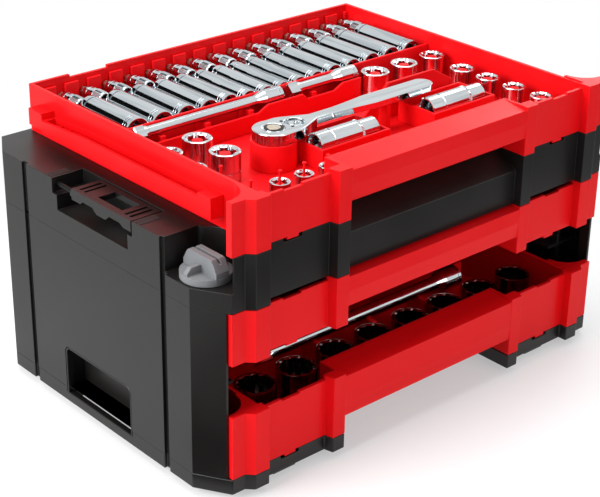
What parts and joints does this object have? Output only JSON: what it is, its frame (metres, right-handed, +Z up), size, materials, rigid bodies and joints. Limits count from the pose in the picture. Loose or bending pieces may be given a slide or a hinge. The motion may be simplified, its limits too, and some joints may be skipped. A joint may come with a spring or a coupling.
{
  "type": "socket organizer drawer box",
  "caption": "Stackable tool box with sliding drawers for socket sets, a lifted-out tray of sockets, bars and a ratchet on its cover, corner lock knobs and side stacking latches.",
  "frame": {"origin": "on the floor, under the middle of the box's outer size", "axes": "+X along the width, to the right as seen from the front; +Y to the back; +Z up; the drawers open along -Y"},
  "size_m": [0.44, 0.3032, 0.2444],
  "materials": {
    "red_plastic": "fine moulded satin",
    "red_insert": "fine moulded satin",
    "black_plastic": "fine moulded texture",
    "grey_plastic": "satin",
    "chrome": "polished",
    "black_chrome": "dark polished",
    "zinc_steel": "zinc plated",
    "blackened_steel": "blackened",
    "rubber_ring": "matt"
  },
  "bodies": {
    "housing": {"base_plate": "black_plastic", "side_wall_left": "black_plastic", "side_wall_right": "black_plastic", "rear_wall": "black_plastic", "top_cover": "black_plastic", "latch_pin_left": "blackened_steel", "latch_pin_right": "blackened_steel", "base_screws": "zinc_steel", "cover_screws": "zinc_steel"},
    "lower_drawer_body": {"lower_drawer": "red_plastic", "lower_drawer_front": "red_plastic", "lower_drawer_rails": "red_plastic", "lower_insert": "red_insert", "lower_tool_rests": "red_insert", "lower_pegs": "red_insert", "lower_sockets": "black_chrome", "lower_extension_bar": "chrome"},
    "upper_drawer_body": {"upper_drawer": "red_plastic", "upper_drawer_front": "red_plastic", "upper_drawer_rails": "red_plastic", "upper_insert": "red_insert", "upper_pegs": "red_insert", "upper_sockets": "chrome"},
    "middle_drawer_body": {"middle_drawer": "red_plastic", "middle_drawer_front": "red_plastic", "middle_drawer_rails": "red_plastic", "middle_insert": "red_insert", "middle_socket_bed": "red_insert", "middle_tool_rests": "red_insert", "middle_pegs": "red_insert", "deep_sockets": "chrome", "bit_sockets": "chrome", "bit_tips": "zinc_steel", "standing_sockets": "chrome", "long_extension_bar": "chrome", "short_extension_bar": "chrome", "spark_plug_sockets": "chrome", "plug_socket_grips": "rubber_ring", "ratchet_body": "chrome", "ratchet_button": "chrome"},
    "ratchet_selector_body": {"ratchet_selector": "chrome"},
    "ratchet_drive_body": {"ratchet_drive": "chrome"},
    "lock_left": {"lock_shaft_left": "zinc_steel", "lock_clip_left": "zinc_steel", "lock_knob_left": "grey_plastic"},
    "lock_right": {"lock_shaft_right": "zinc_steel", "lock_clip_right": "zinc_steel", "lock_knob_right": "grey_plastic"},
    "latch_left": {"stack_latch_left": "black_plastic"},
    "latch_right": {"stack_latch_right": "black_plastic"}
  },
  "joints": [
    {"name": "lower_drawer_slide", "type": "slide", "parent": "housing", "child": "lower_drawer_body", "axis": [0, -1, 0], "range_m": [0, 0.2]},
    {"name": "upper_drawer_slide", "type": "slide", "parent": "housing", "child": "upper_drawer_body", "axis": [0, -1, 0], "range_m": [0, 0.2]},
    {"name": "middle_drawer_lift", "type": "slide", "parent": "housing", "child": "middle_drawer_body", "axis": [0, 0, 1], "range_m": [0, 0.06]},
    {"name": "ratchet_selector_turn", "type": "hinge", "parent": "middle_drawer_body", "child": "ratchet_selector_body", "pos_m": [-0.057, -0.04445, 0.237], "axis": [0, 0, 1], "range_deg": [-20, 20]},
    {"name": "ratchet_drive_turn", "type": "hinge", "parent": "middle_drawer_body", "child": "ratchet_drive_body", "pos_m": [-0.0785, -0.04445, 0.2264], "axis": [0, 0, 1], "continuous": true},
    {"name": "lock_left_turn", "type": "hinge", "parent": "housing", "child": "lock_left", "pos_m": [-0.1985, -0.11085, 0.1745], "axis": [0, 0, 1], "range_deg": [0, 90]},
    {"name": "lock_right_turn", "type": "hinge", "parent": "housing", "child": "lock_right", "pos_m": [0.1985, -0.11085, 0.1745], "axis": [0, 0, -1], "range_deg": [0, 90]},
    {"name": "latch_left_hinge", "type": "hinge", "parent": "housing", "child": "latch_left", "pos_m": [-0.2145, -0.01, 0.1965], "axis": [0, -1, 0], "range_deg": [0, 100]},
    {"name": "latch_right_hinge", "type": "hinge", "parent": "housing", "child": "latch_right", "pos_m": [0.2145, -0.01, 0.1965], "axis": [0, 1, 0], "range_deg": [0, 100]}
  ]
}
